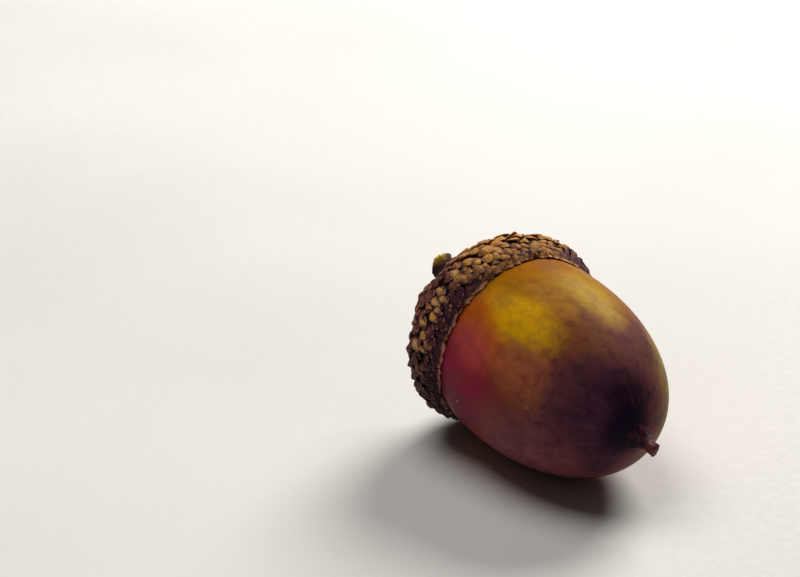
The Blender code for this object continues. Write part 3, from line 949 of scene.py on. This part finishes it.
def stored(tree, name, kind):
    inputs = {"Name": name}
    made = add_node(tree, "GeometryNodeInputNamedAttribute", inputs, data_type=kind)
    return made.outputs["Attribute"]


def random_value(tree, low, high, seed):
    made = add_node(tree, "FunctionNodeRandomValue", data_type="FLOAT")
    sockets = [s for s in made.inputs if s.enabled and s.type == "VALUE"]
    feed(tree, sockets[0], low)
    feed(tree, sockets[1], high)
    feed(tree, made.inputs["Seed"], seed)
    return [s for s in made.outputs if s.enabled][0]


def shifted(tree, geometry, offset):
    inputs = {"Geometry": geometry, "Offset": offset}
    return add_node(tree, "GeometryNodeSetPosition", inputs).outputs[0]


scale_sizes = {
    "Least Size": 0.74,
    "Most Size": 1.28,
    "Twist": 0.36,
    "Ridge": 2.2,
    "Gnarl": 0.00085,
    "Gnarl Scale": 1100.0,
    "Seed": SCALE_SEED,
}
scale_tree = tree = bpy.data.node_groups.new("Shingled Scales", "GeometryNodeTree")
g, out = growing_sockets(tree, scale_sizes, Scale="Object")
blank = add_node(
    tree, "GeometryNodeObjectInfo", {"Object": g["Scale"]}, transform_space="ORIGINAL"
)
outward = stored(tree, "outward", "FLOAT_VECTOR")
up_wall = stored(tree, "along_wall", "FLOAT_VECTOR")
facing = add_node(
    tree,
    "FunctionNodeAxesToRotation",
    {"Primary Axis": outward, "Secondary Axis": up_wall},
    primary_axis="Z",
    secondary_axis="Y",
)
least_twist = times(tree, g["Twist"], -1.0)
twist = random_value(tree, least_twist, g["Twist"], g["Seed"])
lie = split_up(tree, stored(tree, "lie", "FLOAT_VECTOR"))
lean = {"Rotation": facing.outputs[0], "Rotate By": join_up(tree, x=lie["X"], z=twist)}
leaned = add_node(tree, "FunctionNodeRotateRotation", lean, rotation_space="LOCAL")
next_seed = plus(tree, g["Seed"], 1.0)
bulk = random_value(tree, g["Least Size"], g["Most Size"], next_seed)
planting = {
    "Points": g["Geometry"],
    "Instance": blank.outputs["Geometry"],
    "Rotation": leaned.outputs[0],
    "Scale": stretched(tree, stored(tree, "size", "FLOAT_VECTOR"), bulk),
}
planted = add_node(tree, "GeometryNodeInstanceOnPoints", planting).outputs[0]
tone_seed = plus(tree, g["Seed"], 2.0)
toned = add_node(
    tree,
    "GeometryNodeStoreNamedAttribute",
    {"Geometry": planted, "Name": "scale_tone"},
    data_type="FLOAT",
    domain="INSTANCE",
)
feed(tree, toned.inputs["Value"], random_value(tree, 0.0, 1.0, tone_seed))
real = add_node(tree, "GeometryNodeRealizeInstances", {"Geometry": toned.outputs[0]})
ridge = calc(tree, "POWER", stored(tree, "crest", "FLOAT"), g["Ridge"])
hump = times(tree, stored(tree, "along", "FLOAT"), math.pi)
knob = times(tree, ridge, calc(tree, "SINE", hump), lie["Z"])
swollen = shifted(tree, real.outputs[0], stretched(tree, outward, knob))
spot = add_node(tree, "GeometryNodeInputPosition").outputs[0]
knots = lumps(tree, spot, g["Seed"], g["Gnarl Scale"], 1.0)["Color"]
gnarl = vector_calc(tree, "SUBTRACT", knots, (0.5, 0.5, 0.5))
gnarled = shifted(tree, swollen, stretched(tree, gnarl, g["Gnarl"]))
finish_tree(tree, gnarled, g["Material"], out)

SCALE_DARK = paint(48, 18, 44)
SCALE_BROWN = paint(150, 78, 62)
SCALE_RED = paint(130, 58, 66)
SCALE_PALE = paint(244, 184, 124)
SCALE_YELLOW = paint(255, 184, 74)
SCALE_ROSE = paint(236, 168, 136)
SCALE_DUST = paint(214, 178, 140)
# A near-black purple for a painted shadow low on the cup's left side.
SCALE_PAINTED_SHADOW = paint(26, 10, 26)

# Where each colour lies, as arguments of between(). Heights and sides are in millimetres on the
# acorn's own axis: heights fall to -11 on top of the cup, and sides to -11 at its left.
BLOTCHED = (0.42, 0.62, 0.0, 0.45)
# Painted light: the top of the cup is painted paler and yellower, where light falls on it from above.
TOP_LIGHT_BY_HEIGHT = (-7.2, -10.4, 0.0, 0.9)
TOP_LIGHT_BY_SIDE = (-8.6, -4.4)
TOP_LIGHT_BY_BLOTCH = (0.48, 0.60, 1.0, 0.55)
TOP_LIGHT_BY_TONE = (0.0, 1.0, 0.80, 1.0)
TOP_LIGHT_TO_TIP = (0.30, 0.80, 0.70, 1.0)
CRINKLED = (0.42, 0.60)
# Painted shade: the crinkled hollows are painted dark, less on the lit top than down the sides.
CREASE_SHADE_BY_HEIGHT = (-8.4, -10.8, 0.8, 0.38)
# Painted shade at each scale's root, where it tucks under the scale above.
ROOT_PAINTED_SHADE = (0.42, 0.18)
# The crests of the swollen backs are painted pale: partly wear, partly a painted highlight.
BACK_BY_CREST = (0.5, 0.95)
BACK_FROM_ROOT = (0.18, 0.36)
WORN_AND_LIT_BY_KNOB = (0.2, 0.6, 0.06, 1.0)
WORN_AND_LIT_BY_CRINKLE = (0.0, 1.0, 1.0, 0.5)
# Painted shadow: the pale crests are dimmed low on the cup.
CRESTS_DIMMED_LOW = (-1.8, 0.6, 1.0, 0.3)
EDGE_BY_CREST = (0.42, 0.16)
EDGE_FROM_ROOT = (0.35, 0.6)
THIN_TIP = (0.88, 0.99)
LIP_FLECKS = (1.9, 2.0, 0.5, 0.38, 0.52, 0.9)
# Painted shade near the rim, below the pale rim line, strongest down the sides.
RIM_SHADE_STATIONS = (-5.6, -4.9)
RIM_SHADE_BY_HEIGHT = (-10.2, -8.2, 0.15, 0.65)
RIM_STATIONS = (-3.62, -3.40, 0.0, 0.8)
RIM_BY_CREST = (0.0, 0.1, 0.5, 1.0)
# Painted shadow low on the cup's left side.
LOW_SHADOW_BY_HEIGHT = (-1.6, 2.6)
LOW_SHADOW_BY_SIDE = (2.0, -5.0)
LOW_SHADOW_MOST = 0.62

scaly, tree, shader = new_finish("cup_scale")
where = acorn_millimetres(tree)
height = fibre(tree, where, 2.1, 0.7)[1]
own_tone = drawn_from(tree, "scale_tone")
crest = drawn_from(tree, "crest")
along = drawn_from(tree, "along")
station = drawn_from(tree, "station")
knob_height = split_up(tree, drawn_from(tree, "lie", "Vector"))["Z"]
knob = calc(tree, "DIVIDE", knob_height, KNOB_HEIGHT)
on_cup = split_up(tree, where)
up, side = on_cup["X"], on_cup["Y"]
colour = over(tree, SCALE_BROWN, SCALE_RED, own_tone)
blotch = cloud(tree, where, 0.5, 2.0)
colour = over(tree, colour, SCALE_DARK, between(tree, blotch, *BLOTCHED))
# Painted light on the top of the cup: pale yellow where the light falls from above.
painted_top_light = times(
    tree,
    between(tree, up, *TOP_LIGHT_BY_HEIGHT),
    between(tree, side, *TOP_LIGHT_BY_SIDE),
    between(tree, blotch, *TOP_LIGHT_BY_BLOTCH),
    between(tree, own_tone, *TOP_LIGHT_BY_TONE),
    between(tree, along, *TOP_LIGHT_TO_TIP),
)
colour = over(tree, colour, SCALE_YELLOW, painted_top_light)
crinkle = between(tree, cloud(tree, where, 1.5, 3.0, 0.6), *CRINKLED)
# Painted shade in the crinkled hollows, weaker on the top of the cup.
hollow = times(tree, crinkle, between(tree, up, *CREASE_SHADE_BY_HEIGHT))
colour = over(tree, colour, SCALE_DARK, hollow)
# Painted shade at each scale's root, where it tucks under the scale above.
colour = over(tree, colour, SCALE_DARK, between(tree, along, *ROOT_PAINTED_SHADE))
# Pale crests on the swollen backs: partly wear, partly a painted highlight.
worn_and_highlit = times(
    tree,
    between(tree, crest, *BACK_BY_CREST),
    between(tree, along, *BACK_FROM_ROOT),
    between(tree, knob, *WORN_AND_LIT_BY_KNOB),
    between(tree, crinkle, *WORN_AND_LIT_BY_CRINKLE),
    # The pale crests are dimmed low on the cup: painted shadow.
    between(tree, up, *CRESTS_DIMMED_LOW),
)
colour = over(tree, colour, over(tree, SCALE_PALE, SCALE_YELLOW, own_tone), worn_and_highlit)
edge = times(tree, between(tree, crest, *EDGE_BY_CREST), between(tree, along, *EDGE_FROM_ROOT))
lip = calc(tree, "MAXIMUM", edge, between(tree, along, *THIN_TIP))
lip = times(tree, lip, flecks(tree, where, *LIP_FLECKS))
# Painted shade near the rim: light on top, stronger down the sides.
rim_painted_shade = between(tree, station, *RIM_SHADE_STATIONS)
rim_painted_shade = times(tree, rim_painted_shade, between(tree, up, *RIM_SHADE_BY_HEIGHT))
colour = over(tree, colour, SCALE_DARK, rim_painted_shade)
rim = times(tree, between(tree, station, *RIM_STATIONS), between(tree, crest, *RIM_BY_CREST))
colour = over(tree, colour, SCALE_ROSE, calc(tree, "MAXIMUM", lip, rim))
colour = over(tree, colour, SCALE_DUST, specks(tree, where, 0.5, 0.12, 0.12))
# A painted shadow darkens the cup low on its left side.
low_painted_shadow = times(tree, between(tree, up, *LOW_SHADOW_BY_HEIGHT), between(tree, side, *LOW_SHADOW_BY_SIDE), LOW_SHADOW_MOST)
colour = over(tree, colour, SCALE_PAINTED_SHADOW, low_painted_shadow)
rough_surface(tree, shader, colour, height, 0.00045, 1.0, 0.74)

blank_scale = show("scale_blank", scale_blank())
scale_values = {**scale_sizes, "Scale": blank_scale, "Material": scaly}
scales_mesh = grow("cup_scales", scale_places(), scale_tree, scale_values)
bpy.data.objects.remove(blank_scale)
keep_stations(scales_mesh)
lay_down(scales_mesh, held_in)
scales = show("cup_scales", scales_mesh)
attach(scales, "root")
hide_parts("cup")


# THE STALK
# The stub by which the acorn hung from its twig: a ribbed woody peg that bends up from the cup's
# back and ends in a knob where it broke off. It grew in one piece with the cup.

STALK_ROOT_STATION = -0.0125
STALK_LENGTH = 0.0058
STALK_RADIUS = 0.00105
STALK_ROOT_FLARE = 0.25
STALK_KNOB_SWELL = 0.34
STALK_KNOB_START = 0.45
STALK_KNOB_RUN = 0.75
STALK_RIBS = 5
STALK_RIB_DEPTH = 0.10
STALK_WRINKLE = 0.30
STALK_BEND = 0.0030
STALK_SIDES, STALK_RINGS = 64, 60
# Its end broke off uneven: past this share it draws in, and its middle sinks back.
STALK_BREAK_SHARE = 0.94
STALK_BREAK_HOLLOW = 0.5
STALK_BREAK_ROUND = 0.09


def stalk_point(turn, share):
    hollow, height = 1.0, share
    past, left = share - STALK_BREAK_SHARE, 1.0 - STALK_BREAK_SHARE
    if past > 0.0:
        hollow = 1.0 - STALK_BREAK_HOLLOW * (past / left) ** 1.5
        height = STALK_BREAK_SHARE + left * math.sin(math.pi * past / STALK_BREAK_ROUND)
    swell = 1.0 + STALK_ROOT_FLARE * (1.0 - share) ** 4
    knob = math.sin(math.pi * (share - STALK_KNOB_START) / STALK_KNOB_RUN)
    swell += STALK_KNOB_SWELL * max(0.0, knob)
    swell += STALK_RIB_DEPTH * math.sin(math.pi * share) * math.cos(STALK_RIBS * turn)
    rough = noise.noise(Vector((math.cos(turn) * 1.8, math.sin(turn) * 1.8, share * 5.0)))
    fine = noise.noise(Vector((math.cos(turn) * 5.0, math.sin(turn) * 5.0, share * 18.0)))
    swell += STALK_WRINKLE * (rough + 0.6 * fine)
    radius = STALK_RADIUS * swell * hollow
    x = math.cos(turn) * radius - STALK_BEND * share**1.6
    return x, -math.sin(turn) * radius, STALK_ROOT_STATION - STALK_LENGTH * height


WOOD_DARK = paint(52, 22, 42)
WOOD_BROWN = paint(118, 70, 62)
# A painted pool of light: pale yellow on the upper side of the knob's end.
WOOD_PAINTED_LIGHT = paint(252, 208, 60)
WOOD_SHADED = paint(44, 18, 40)
WOOD_BROKEN = paint(38, 20, 20)
LIT_END_PATCH = ((-4.2, -1.0, -18.7), (1.9, 1.9, 2.0), 0.95)
SHADED_X = (-3.6, -2.4, 0.0, 0.7)
BROKEN_CENTRE = (-2.7, 0.0, -18.2)

woody, tree, shader = new_finish("stalk_wood")
where = acorn_millimetres(tree)
tone, height = fibre(tree, where, 1.7, 0.35)
colour = over(tree, WOOD_DARK, WOOD_BROWN, tone)
# Painted light on the upper side of the knob's end.
colour = over(tree, colour, WOOD_PAINTED_LIGHT, patch(tree, where, *LIT_END_PATCH))
shaded = between(tree, split_up(tree, where)["X"], *SHADED_X)
colour = over(tree, colour, WOOD_SHADED, shaded)
broken = between(tree, far_from(tree, where, BROKEN_CENTRE), 0.75, 0.3)
colour = over(tree, colour, WOOD_BROKEN, broken)
rough_surface(tree, shader, colour, height, 0.00040, 1.0, 0.72)

stalk_mesh = ringed_peg("stalk_stub", STALK_SIDES, STALK_RINGS, stalk_point)
stalk_mesh.materials.append(woody)
lay_down(stalk_mesh, skewed)
stalk = show("stalk_stub", stalk_mesh)
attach(stalk, "root")
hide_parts("cup")


# THE TABLE, THE LIGHT AND THE CAMERA
# A plain pale table top, matt and flat. One soft lamp stands high behind the acorn and one hangs
# over it, with a faint light from all round, so that the shadow falls forwards. The camera looks
# down from the side of the nut's point.

TABLE_SIZE = 3.0
CAMERA_PLACE = Vector((0.154647, -0.121880, 0.106303))
CAMERA_SIGHT = Vector((-0.76085, 0.50666, -0.40546))
CAMERA_LENS = 94.7
TABLE_SHADE = paint(234, 231, 226)
TABLE_PALE = paint(243, 241, 237)
# Name, place, width in metres and power in watts of each lamp.
LAMPS = (("window", (-0.25, 0.50, 0.42), 0.36, 4.8), ("ceiling", (-0.22, -0.06, 0.66), 0.48, 2.1))
LAMP_COLOUR = (1.0, 0.98, 0.95)
ROOM_COLOUR = (0.80, 0.79, 0.78, 1.0)
ROOM_STRENGTH = 0.04

top, tree, shader = new_finish("pale_table")
surface = tree.nodes.new("ShaderNodeTexCoord")
mottle = cloud(tree, surface.outputs["Object"], 9.0, 4.0)
grain = cloud(tree, surface.outputs["Object"], 900.0, 2.0)
colour = over(tree, TABLE_SHADE, TABLE_PALE, between(tree, mottle, 0.35, 0.65))
rough_surface(tree, shader, colour, grain, 0.00004, 0.2, 0.6)

table_mesh = bpy.data.meshes.new("table_top")
half = TABLE_SIZE / 2
corners = [(-half, -half, 0.0), (half, -half, 0.0), (half, half, 0.0), (-half, half, 0.0)]
table_mesh.from_pydata(corners, [], [(0, 1, 2, 3)])
table_mesh.materials.append(top)
table = show("table_top", table_mesh)

for name, place, width, power in LAMPS:
    lamp = bpy.data.lights.new(name, "AREA")
    lamp.shape = "DISK"
    lamp.size = width
    lamp.energy = power
    lamp.color = LAMP_COLOUR
    stand = bpy.data.objects.new(name, lamp)
    stand.location = place
    stand.rotation_euler = (-Vector(place)).to_track_quat("-Z", "Y").to_euler()
    bpy.context.scene.collection.objects.link(stand)

world = bpy.data.worlds.new("room")
world.use_nodes = True
room = world.node_tree.nodes["Background"]
room.inputs["Color"].default_value = ROOM_COLOUR
room.inputs["Strength"].default_value = ROOM_STRENGTH
bpy.context.scene.world = world
bpy.context.scene.view_settings.view_transform = "Standard"

camera = bpy.data.cameras.new("camera")
camera.lens = CAMERA_LENS
camera.sensor_width = 36.0
camera.clip_start = 0.01
eye = bpy.data.objects.new("camera", camera)
eye.location = CAMERA_PLACE
eye.rotation_euler = CAMERA_SIGHT.to_track_quat("-Z", "Y").to_euler()
bpy.context.scene.collection.objects.link(eye)
bpy.context.scene.camera = eye
